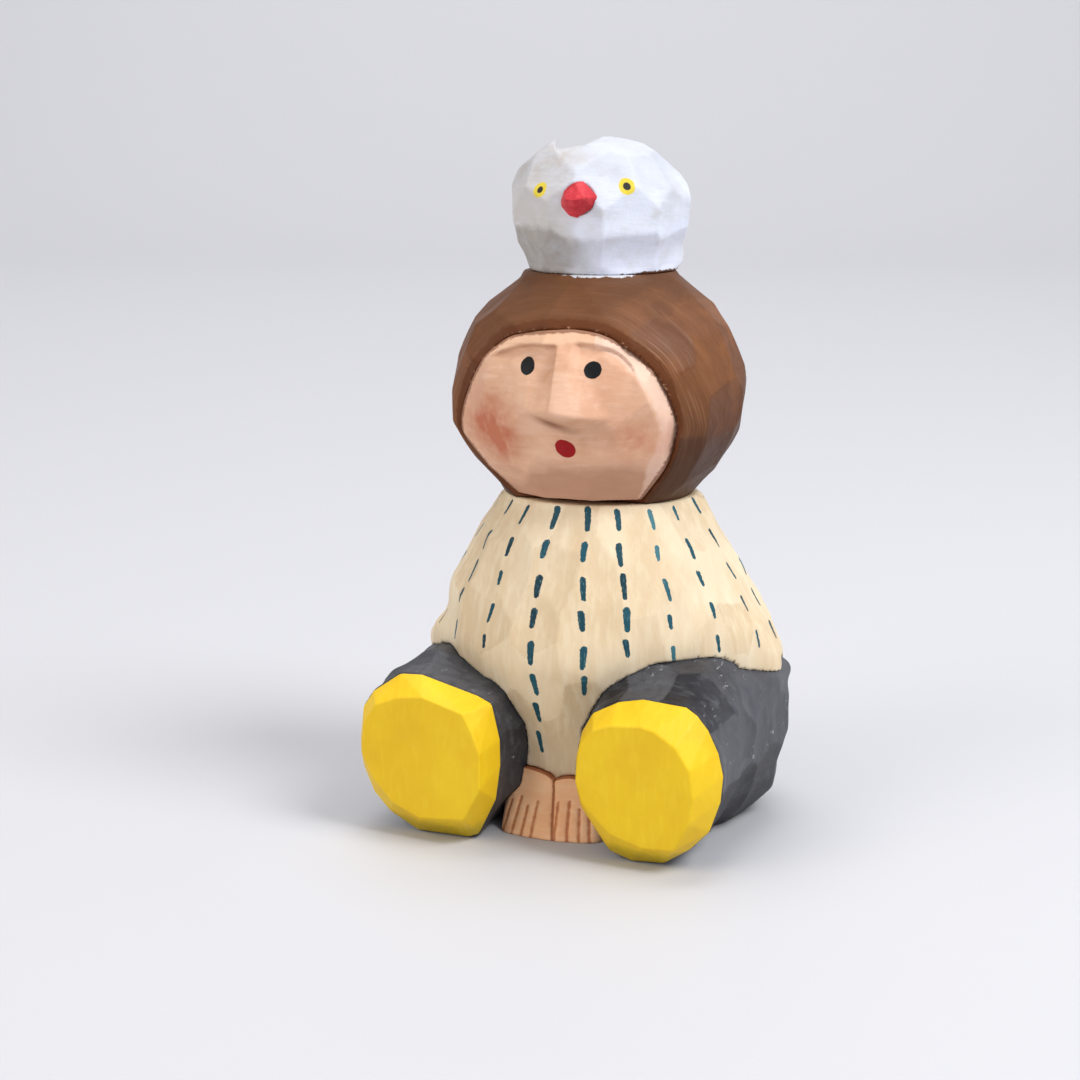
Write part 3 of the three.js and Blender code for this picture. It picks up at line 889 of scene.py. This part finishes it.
def crown_notch(p):
    """The stop cut on the crown: a flat floor that ends at a small standing chip."""
    x, _, z = xyz(turn(p, -VIEW_TURN))
    floor = BIRD_TOP - z - np.minimum(2.45 - 0.16 * (x - CHIP_X), 1.7 - 0.45 * (x + 3.4))
    return np.maximum(floor, CHIP_X - x + CHIP_SIDE * (BIRD_TOP - z))


def crown_chip(p):
    """The chip that stands beside the stop cut, with one long slope on its outer side."""
    x, _, z = xyz(turn(p, -VIEW_TURN))
    slope = (z - CHIP_TOP - 0.85 * (x - CHIP_X)) / 1.31
    sunk = 1.7 * fade(CHIP_TOP - z, 0.3, 4.0) - 0.35
    d = smooth_max(slope, bird_form(p) + sunk, 0.5)
    return most(d, x - CHIP_X - CHIP_SIDE * (BIRD_TOP - z), CHIP_TOP - 5.5 - z)


def bird_exact(p):
    z = p[..., 2]
    cuts = cut_height(p, BIRD_SEEDS, 15.5, soft=0.07)
    inner = fade(z, BIRD_BOTTOM - 0.5, BIRD_BOTTOM + 1.5)
    d = bird_and_tail(p) - (np.minimum(cuts, 1.4) - 0.85) * inner + 0.06 * waves(p, 6, SEED + 19)
    d = smooth_min(d, crown_chip(p), 0.5)
    d = smooth_max(d, -crown_notch(p), 0.2)
    x, y, _ = xyz(turn(p, -BIRD_TURN))
    seat = np.maximum(y - BEAK_SEAT_Y - 0.2, np.hypot(x - BEAK_X, z - BEAK_Z) - 2.7)
    d = smooth_max(d, -seat, 0.3)
    d = np.maximum(smooth_max(d, z - BIRD_TOP + 0.03, 0.1), BIRD_BOTTOM - z)
    return holes(turn(p, HEAD_YAW), d, ("bird_dowel",))


def build_bird():
    low, high = (-17, -17, BIRD_BOTTOM), (17, 20, BIRD_TOP)
    piece, p = carve("bird_carved", low, high, 0.3, bird_volume, bird_exact, 2.5, HEAD_YAW)
    x, y, z = xyz(p)
    angle = np.arctan2(x, -y)
    eye = np.full(len(p), 9.0)
    for side, height, place in BIRD_EYES:
        across = (angle - BIRD_TURN - math.radians(place)) * 14.8
        eye = np.minimum(eye, np.hypot(across, z - height) * (1.04 - 0.05 * side))
    # The belly line is where the painted shade under the belly begins; side and height also place
    # the bird's painted light and shade.
    place, height = np.array(BELLY_SHADE_LINE, float).T
    right = turn(p, -VIEW_TURN)[:, 0]
    store(piece, eye=eye, side=x, height=z - BIRD_BOTTOM,
          under=np.interp(np.degrees(angle), place, height) - z,
          belly=fade(np.abs(np.degrees(angle) - 8), 115, 70),
          foot=z - BIRD_BOTTOM - 0.55 * fade(right, 2, 11))
    return piece


def build_beak():
    """A short blunt wedge with a few knife facets."""
    outline = ((-3.2, -0.3), (-2.6, 1.5), (-0.9, 2.9), (0.6, 3.0), (3.1, 0.6), (3.2, 0.0),
               (2.3, -1.5), (-0.4, -3.2), (-1.8, -2.8), (-3.1, -1.3))
    points = [(0.92 * x, BEAK_SEAT_Y + 2.4, 0.92 * z) for x, z in outline]
    points += [(x, BEAK_SEAT_Y - 0.3, z) for x, z in outline]
    points += [(-2.0, BEAK_TIP_Y + 0.8, 0.0), (-0.3, BEAK_TIP_Y, -0.1),
               (1.6, BEAK_TIP_Y + 0.5, 0.2), (0.2, BEAK_TIP_Y + 1.3, 1.6)]
    points = np.array(points) + (BEAK_X, 0, BEAK_Z)
    return hull_piece("beak_carved", turn(points, HEAD_YAW + BIRD_TURN), 0.14, 10)


# ---- materials

def rgb(red, green, blue):
    """A colour from its 0 to 255 screen values, as the linear values that shaders use."""
    def linear(v):
        v /= 255
        return v / 12.92 if v <= 0.04045 else ((v + 0.055) / 1.055) ** 2.4
    return (linear(red), linear(green), linear(blue), 1.0)


class Paint:
    """One material, built up in coats on self.paint. Texture lengths are in millimetres."""

    def __init__(self, name, roughness):
        self.material = bpy.data.materials.new(name)
        self.material.use_nodes = True
        self.tree = self.material.node_tree
        self.tree.nodes.clear()
        self.shader = self.node("ShaderNodeBsdfPrincipled")
        self.shader.inputs["Roughness"].default_value = roughness
        self.shader.inputs["Specular IOR Level"].default_value = 0.25
        output = self.node("ShaderNodeOutputMaterial")
        self.link(self.shader.outputs[0], output.inputs[0])
        self.place = self.node("ShaderNodeTexCoord").outputs["Object"]

    def node(self, kind, **values):
        made = self.tree.nodes.new(kind)
        for key, value in values.items():
            setattr(made, key, value)
        return made

    def link(self, out, into):
        self.tree.links.new(out, into)

    def give(self, socket, value):
        if isinstance(value, bpy.types.NodeSocket):
            self.link(value, socket)
        else:
            socket.default_value = value

    def stored(self, name):
        return self.node("ShaderNodeAttribute", attribute_name=name).outputs["Fac"]

    def noise(self, size, detail=4.0, stretch=(1, 1, 1), rough=0.55, where=None):
        """Noise with grains of that size, in millimetres, stretched along an axis."""
        mapping = self.node("ShaderNodeMapping")
        self.link(where or self.place, mapping.inputs["Vector"])
        unit = 1.0 if where else 1 / MM
        mapping.inputs["Scale"].default_value = [unit / (size * s) for s in stretch]
        made = self.node("ShaderNodeTexNoise")
        made.inputs["Scale"].default_value = 1.0
        made.inputs["Detail"].default_value = detail
        made.inputs["Roughness"].default_value = rough
        self.link(mapping.outputs[0], made.inputs["Vector"])
        return made.outputs["Fac"]

    def ragged(self, name, depth, size, detail=4.0, rough=0.55):
        """A stored number, moved up and down by noise over a range of that depth."""
        noise = self.calc("SUBTRACT", self.noise(size, detail, rough=rough), 0.5)
        return self.calc("ADD", self.stored(name), self.times(noise, depth))

    def span(self, value, start, end, low=0.0, high=1.0):
        """Maps value from start..end to low..high and stops there."""
        made = self.node("ShaderNodeMapRange", clamp=True)
        self.give(made.inputs["Value"], value)
        for socket, number in zip(("From Min", "From Max", "To Min", "To Max"),
                                  (start, end, low, high)):
            made.inputs[socket].default_value = number
        return made.outputs["Result"]

    def calc(self, operation, a, b):
        made = self.node("ShaderNodeMath", operation=operation)
        self.give(made.inputs[0], a)
        self.give(made.inputs[1], b)
        return made.outputs[0]

    def times(self, a, b):
        return self.calc("MULTIPLY", a, b)

    def mix(self, amount, a, b):
        made = self.node("ShaderNodeMix", data_type="RGBA")
        self.give(made.inputs["Factor"], amount)
        self.give(made.inputs["A"], a)
        self.give(made.inputs["B"], b)
        return made.outputs["Result"]

    def ground(self, value, start, end, first, last):
        """A new first coat, whose colour goes from first to last as value goes from start to end."""
        self.paint = self.mix(self.span(value, start, end), rgb(*first), rgb(*last))

    def patch(self, amount, colour):
        """A colour over the paint so far."""
        self.paint = self.mix(amount, self.paint, rgb(*colour))

    def coat(self, value, start, end, amount, colour):
        """A colour over the paint so far, that much of it where value reaches end."""
        self.patch(self.span(value, start, end, 0, amount), colour)

    def finish(self, rough, *bumps):
        """The material with its paint and bumps, each a texture and its depth in millimetres.
        rough is the range of roughness along the first of them."""
        self.give(self.shader.inputs["Base Color"], self.paint)
        if rough:
            self.give(self.shader.inputs["Roughness"], self.span(bumps[0][0], 0.3, 0.7, *rough))
        normal = None
        for height, depth in bumps:
            made = self.node("ShaderNodeBump")
            made.inputs["Distance"].default_value = depth * MM
            self.give(made.inputs["Height"], height)
            if normal:
                self.link(normal, made.inputs["Normal"])
            normal = made.outputs[0]
        if normal:
            self.link(normal, self.shader.inputs["Normal"])
        return self.material


def sweater_paint():
    m = Paint("sweater_paint", 0.6)
    strokes = m.noise(1.6, 6, (1, 1, 7))
    fine = m.noise(0.35, 4, (1, 1, 9))
    m.ground(m.noise(9, 3, (1, 1, 2.6)), 0.4, 0.62, (236, 217, 184), (225, 201, 163))
    m.coat(m.stored("tone"), 0.4, 0.95, 0.7, (214, 188, 150))
    m.coat(strokes, 0.45, 0.75, 0.5, (246, 233, 204))
    m.coat(fine, 0.6, 0.8, 0.25, (214, 184, 142))
    cream = m.paint
    tone = m.stored("dash_tone")
    m.ground(tone, 0.0, 1.0, (16, 50, 62), (30, 88, 102))
    m.coat(tone, 1.0, 1.7, 0.7, (84, 140, 148))
    m.coat(m.noise(0.3, 5, (1, 1, 5)), 0.56, 0.75, 0.7, (108, 152, 156))
    m.paint = m.mix(m.span(m.ragged("dash", 0.42, 0.55), 0.03, -0.05), cream, m.paint)
    # Painted highlight along the hem, where the sweater's edge meets the trousers.
    m.coat(m.ragged("hem", 0.8, 0.8, 3), 0.35, 0.05, 0.55, (250, 240, 215))
    m.coat(m.ragged("cuff", 0.35, 0.9, 3), 0.245, 0.125, 0.85, (152, 94, 58))
    return m.finish((0.5, 0.68), (strokes, 0.12), (fine, 0.05))


def trouser_paint():
    m = Paint("trouser_paint", 0.5)
    strokes = m.noise(1.3, 6, (6, 1.2, 1.2))
    m.ground(m.ragged("tone", 0.8, 9), 0.15, 0.85, (32, 31, 34), (79, 80, 84))
    m.coat(strokes, 0.5, 0.75, 0.5, (104, 106, 110))
    m.coat(m.noise(1.5, 6, (1.2, 1.5, 6)), 0.5, 0.75, 0.55, (36, 36, 46))
    # Painted light on the figure's left side, which faces the light.
    m.coat(m.ragged("side", 10.0, 6), 25.0, 35.0, 0.2, (122, 123, 129))
    chips = m.span(m.noise(0.8, 6, (1, 4, 1.6), 0.75), 0.6, 0.64)
    m.patch(m.times(chips, m.span(m.noise(8, 3), 0.54, 0.6, 0, 0.8)), (178, 180, 184))
    return m.finish((0.42, 0.6), (strokes, 0.1), (m.noise(0.5, 6, (5, 1, 1)), 0.07))


def sole_paint():
    m = Paint("sole_paint", 0.42)
    strokes = m.noise(1.0, 6, (1, 3, 5))
    m.ground(m.noise(10, 3), 0.35, 0.7, (240, 200, 30), (232, 186, 26))
    m.coat(strokes, 0.5, 0.8, 0.3, (250, 222, 62))
    marks = m.span(m.noise(0.8, 5), 0.68, 0.74)
    m.patch(m.times(marks, m.span(m.noise(7, 2), 0.58, 0.64, 0, 0.35)), (176, 150, 60))
    # Painted shade on the lowest part of the soles, near the floor.
    m.coat(m.ragged("low", 3.0, 2.0), 4.0, 2.0, 0.6, (176, 158, 28))
    return m.finish((0.4, 0.56), (strokes, 0.08), (m.noise(0.4, 5, (1, 1, 5)), 0.04))


def skin_ground(m, light, dark, stroke):
    strokes = m.noise(1.1, 6, (5, 1.5, 1))
    m.ground(m.noise(7), 0.35, 0.68, light, dark)
    m.coat(strokes, 0.47, 0.74, 0.5, stroke)
    m.coat(strokes, 0.45, 0.3, 0.2, dark)
    return strokes


def face_paint():
    m = Paint("face_paint", 0.52)
    strokes = skin_ground(m, (228, 184, 152), (208, 158, 126), (238, 202, 176))
    m.coat(m.stored("tone"), 0.5, 1.0, 0.35, (214, 162, 132))
    # Painted light on the face above the brows.
    m.coat(m.ragged("forehead", 0.8, 1.5, 3), -0.2, 0.5, 0.3, (236, 200, 166))
    # Painted shade under the chin, less on the figure's right.
    m.coat(m.ragged("height", 5.0, 3.5, 5), 67.3, 64.7, 0.75, (184, 137, 112))
    # Painted shadow under the nose.
    m.coat(m.stored("under_nose"), 0.0, 1.0, 0.9, (138, 90, 66))
    # Painted highlight on the nose, beside its tip.
    m.coat(m.stored("tip"), 0.1, 0.9, 0.35, (246, 208, 186))
    # Painted light on the side of the face on the figure's left, which faces the light.
    m.coat(m.ragged("strip", 1.2, 2.0, 3), 2.6, 2.1, 0.5, (244, 212, 194))
    blush = m.times(m.stored("blush"), m.span(m.noise(3.0, 5), 0.25, 0.65, 0.45, 1.1))
    m.coat(blush, 0.06, 0.9, 0.95, (188, 106, 72))
    m.coat(m.ragged("eye", 0.2, 0.7), 0.02, -0.04, 1, (10, 11, 14))
    m.coat(m.ragged("mouth", 0.2, 0.9), 0.02, -0.04, 1, (150, 0, 6))
    m.coat(m.ragged("edge", -0.9, 0.7, 5), 0.6, 0.35, 0.8, (126, 76, 50))
    return m.finish((0.45, 0.6), (strokes, 0.07), (m.noise(0.4, 5, (5, 1, 1)), 0.04))


def hand_paint():
    m = Paint("hand_paint", 0.55)
    strokes = skin_ground(m, (255, 202, 154), (246, 184, 136), (255, 216, 176))
    m.coat(m.ragged("finger", 0.5, 0.8), 0.42, 0.1, 0.9, (186, 106, 60))
    m.coat(m.ragged("outline", 0.25, 0.9, 3), 0.295, 0.175, 0.9, (164, 94, 54))
    return m.finish(None, (strokes, 0.08))


def hair_paint():
    m = Paint("hair_paint", 0.5)
    from_face, tone = m.stored("from_face"), m.stored("tone")
    around = m.node("ShaderNodeCombineXYZ")
    for i, name in enumerate(("across_face", "up_face")):
        m.link(m.times(m.stored(name), 2.2), around.inputs[i])
    m.link(from_face, around.inputs[2])

    def brushed(size, length, detail):
        """Strokes that follow the face, and run down the back of the head."""
        behind = m.stored("behind")
        ring = m.noise(size, detail, (length / 6, length / 6, 1), 0.6, around.outputs[0])
        down = m.noise(size, detail, (1, 1, length), 0.6)
        return m.calc("ADD", m.times(down, behind), m.times(ring, m.calc("SUBTRACT", 1.0, behind)))

    strokes = brushed(0.9, 7, 6)
    hairs = brushed(0.28, 24, 3)
    m.ground(m.noise(9), 0.35, 0.65, (126, 81, 50), (108, 69, 44))
    m.coat(tone, 0.35, 0.9, 0.5, (92, 54, 34))
    m.coat(tone, 0.3, 0.05, 0.4, (142, 94, 56))
    m.coat(strokes, 0.45, 0.75, 0.5, (84, 50, 33))
    m.coat(m.noise(5, 3), 0.5, 0.72, 0.45, (150, 94, 54))
    m.coat(from_face, 12.0, 3.0, 0.4, (122, 72, 34))
    beside = m.times(m.span(from_face, 7.0, 2.0), m.span(m.stored("across_face"), 0.5, 0.9))
    light = m.times(m.span(hairs, 0.5, 0.7), m.span(beside, 0.0, 1.0, 0.1, 0.45))
    m.patch(light, (184, 140, 108))
    # Painted shade darkens the hair towards its lower edge, most on the figure's left; partly it is
    # also a darker paint. Towards the crown the hair is painted darker and warmer.
    height = m.ragged("height", 6.0, 6, 3)
    m.coat(height, 75.0, 63.0, 0.8, (62, 34, 18))
    m.coat(height, 87.0, 93.0, 0.45, (90, 56, 30))
    rim = m.ragged("rim", -0.35, 1.0, 5)
    m.coat(rim, 0.12, 0.3, 0.9, (98, 50, 16))
    crumbs = m.times(m.span(m.noise(0.7, 5), 0.6, 0.64), m.span(rim, 0.62, 0.75, 0, 0.5))
    m.patch(crumbs, (206, 164, 130))
    m.coat(m.ragged("from_bird", 1.4, 1.3, 6, 0.7), 0.32, 0.24, 1, (206, 207, 212))
    return m.finish((0.45, 0.65), (strokes, 0.12), (hairs, 0.05))


def bird_paint():
    m = Paint("bird_paint", 0.5)
    thin = m.noise(3.2, 5)
    strokes = m.noise(1.0, 6, (4, 4, 1))
    side, height = m.ragged("side", 14.0, 5), m.stored("height")
    m.ground(m.noise(6), 0.4, 0.65, (220, 224, 236), (206, 209, 217))
    # The bird's side on the figure's right is painted beige-grey: partly a thinner, dirtier paint,
    # partly painted shade on the side away from the light.
    m.coat(side, 2.0, -6.0, 0.8, (201, 194, 185))
    m.coat(thin, 0.55, 0.75, 0.5, (194, 186, 176))
    m.coat(strokes, 0.5, 0.8, 0.4, (232, 236, 243))
    # Painted shade: the bird is painted greyer towards its top.
    m.coat(height, 12.0, 20.0, 0.65, (186, 189, 197))
    # On the upper part on the figure's right, mottled patches darken it further: partly thin paint,
    # partly painted shade.
    crown = m.times(m.span(height, 14.0, 18.0, 0, 0.6), m.span(side, 2.0, -4.0))
    m.patch(m.times(crown, m.span(thin, 0.4, 0.65)), (178, 166, 156))
    # Painted light: the lower part on the figure's left, towards the light, is painted bluish white.
    m.patch(m.times(m.span(height, 11.0, 4.0, 0, 0.7), m.span(side, -2.0, 5.0)), (236, 240, 250))
    above = m.paint
    # Below the belly line: painted shade under the overhang, dark grey-brown on the figure's right
    # and bluish white, as painted light, on the figure's left.
    m.ground(side, 5.0, -4.0, (218, 222, 238), (148, 140, 131))
    m.coat(thin, 0.45, 0.7, 0.5, (192, 190, 188))
    # The painted shade of the belly takes over below the ragged belly line, towards the front.
    belly = m.times(m.span(m.ragged("under", 2.4, 3.5, 5), -0.4, 0.9, 0, 0.7), m.stored("belly"))
    m.paint = m.mix(belly, above, m.paint)
    ring = m.ragged("eye", 0.3, 0.8)
    m.coat(ring, 1.5, 1.3, 1, (226, 202, 66))
    m.coat(ring, 0.72, 0.58, 1, (44, 42, 38))
    m.coat(m.ragged("foot", -1.6, 0.9, 6, 0.7), 0.04, -0.04, 1, (96, 62, 42))
    return m.finish((0.42, 0.58), (strokes, 0.1), (m.noise(0.4, 5), 0.04))


def beak_paint():
    m = Paint("beak_paint", 0.42)
    fine = m.noise(0.5, 5)
    m.ground(m.noise(1.6, 5), 0.35, 0.7, (212, 62, 70), (188, 40, 50))
    m.coat(fine, 0.62, 0.8, 0.6, (236, 120, 120))
    return m.finish(None, (fine, 0.08))


def bare_wood():
    m = Paint("bare_wood", 0.7)
    grain = m.noise(0.5, 6, (1, 1, 12))
    m.ground(grain, 0.35, 0.7, (214, 178, 132), (184, 142, 96))
    return m.finish(None, (grain, 0.05))


# ---- studio, in metres

CAMERA_DISTANCE = 0.392
CAMERA_HEIGHT = 0.1274
CAMERA_PITCH = math.radians(11.3)
CAMERA_PAN = math.radians(1.557)
CAMERA_LENS = 73.57
SENSOR = 36.0
FLOOR_HALF, FLOOR_FRONT = 7.0, -7.0
WALL_Y, WALL_TOP, SWEEP = 2.2, 3.0, 0.8
WALL_LIT = Vector((-0.75, 2.07, 0.7))
FIGURE_MIDDLE = Vector((0, 0, 0.06))


def add_camera():
    data = bpy.data.cameras.new("camera")
    data.lens = CAMERA_LENS
    data.sensor_width = SENSOR
    data.clip_start = 0.01
    camera = add("camera", data)
    camera.location = (CAMERA_DISTANCE * math.sin(CAMERA_AZIMUTH),
                       -CAMERA_DISTANCE * math.cos(CAMERA_AZIMUTH), CAMERA_HEIGHT)
    camera.rotation_euler = (math.pi / 2 - CAMERA_PITCH, 0, CAMERA_AZIMUTH + CAMERA_PAN)
    bpy.context.scene.camera = camera


def add_light(name, azimuth, elevation, distance, size, power, colour, aim):
    data = bpy.data.lights.new(name, "AREA")
    data.shape = "DISK"
    data.size = size
    data.energy = power
    data.color = colour
    light = add(name, data)
    a, e = math.radians(azimuth), math.radians(elevation)
    light.location = FIGURE_MIDDLE + distance * Vector((math.sin(a) * math.cos(e),
                                                        -math.cos(a) * math.cos(e), math.sin(e)))
    light.rotation_euler = (aim - light.location).to_track_quat("-Z", "Y").to_euler()


def add_studio():
    """A pale floor that sweeps up behind, a large soft light from the upper right, and fill."""
    line = [(FLOOR_FRONT, 0.0)]
    for i in range(13):
        a = math.pi / 2 * i / 12
        line.append((WALL_Y - SWEEP + SWEEP * math.sin(a), SWEEP - SWEEP * math.cos(a)))
    line.append((WALL_Y, WALL_TOP))
    mesh = bmesh.new()
    turned = Matrix.Rotation(CAMERA_AZIMUTH, 3, "Z")
    rows = [[mesh.verts.new(turned @ Vector((x, y, z))) for x in (-FLOOR_HALF, FLOOR_HALF)]
            for y, z in line]
    for a, b in zip(rows, rows[1:]):
        mesh.faces.new((a[0], a[1], b[1], b[0]))
    data = bpy.data.meshes.new("floor")
    mesh.to_mesh(data)
    mesh.free()
    data.polygons.foreach_set("use_smooth", [True] * len(data.polygons))
    floor = add("floor", data)
    m = Paint("floor", 0.55)
    m.paint = rgb(198, 198, 201)
    data.materials.append(m.finish(None))
    world = bpy.data.worlds.new("studio")
    bpy.context.scene.world = world
    world.use_nodes = True
    colour, strength = world.node_tree.nodes["Background"].inputs[:2]
    colour.default_value = (0.93, 0.94, 1.0, 1)
    strength.default_value = 0.5
    add_light("key", 78, 48, 1.0, 0.5, 8.0, (0.97, 0.98, 1.0), FIGURE_MIDDLE)
    add_light("front", -35, 30, 1.2, 0.8, 5.0, (1, 0.96, 0.91), FIGURE_MIDDLE)
    add_light("wall", 200, 72, 2.4, 1.6, 42.0, (1, 1, 1), WALL_LIT)


# ---- assembly

bpy.context.scene.view_settings.view_transform = "Standard"
add_camera()
add_studio()

grey = trouser_paint()
seat, leg_pieces = build_lower_body()
finish_piece(seat, "body", "trouser_paint", grey, "seat_block")
yellow = sole_paint()
hands = build_hands()
hand_skin = hand_paint()
for leg in LEGS:
    finish_piece(leg_pieces[leg.name], "body", "trouser_paint", grey, f"{leg.name}_leg")
    finish_piece(build_sole(leg), "body", "sole_paint", yellow, f"{leg.name}_boot_sole")
    finish_piece(hands[leg.name], "body", "skin_paint", hand_skin, f"{leg.name}_hand")
finish_piece(build_torso(), "body", "sweater_paint", sweater_paint(), "torso")
finish_piece(build_hair(), "head", "hair_paint", hair_paint(), "hair")
finish_piece(build_face(), "head", "skin_paint", face_paint(), "face")
finish_piece(build_bird(), "head", "bird_paint", bird_paint(), "bird")
finish_piece(build_beak(), "head", "beak_paint", beak_paint(), "beak")

wood = bare_wood()
for name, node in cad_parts.items():
    if "dowel" in name:
        node.data.materials.clear()
        node.data.materials.append(wood)
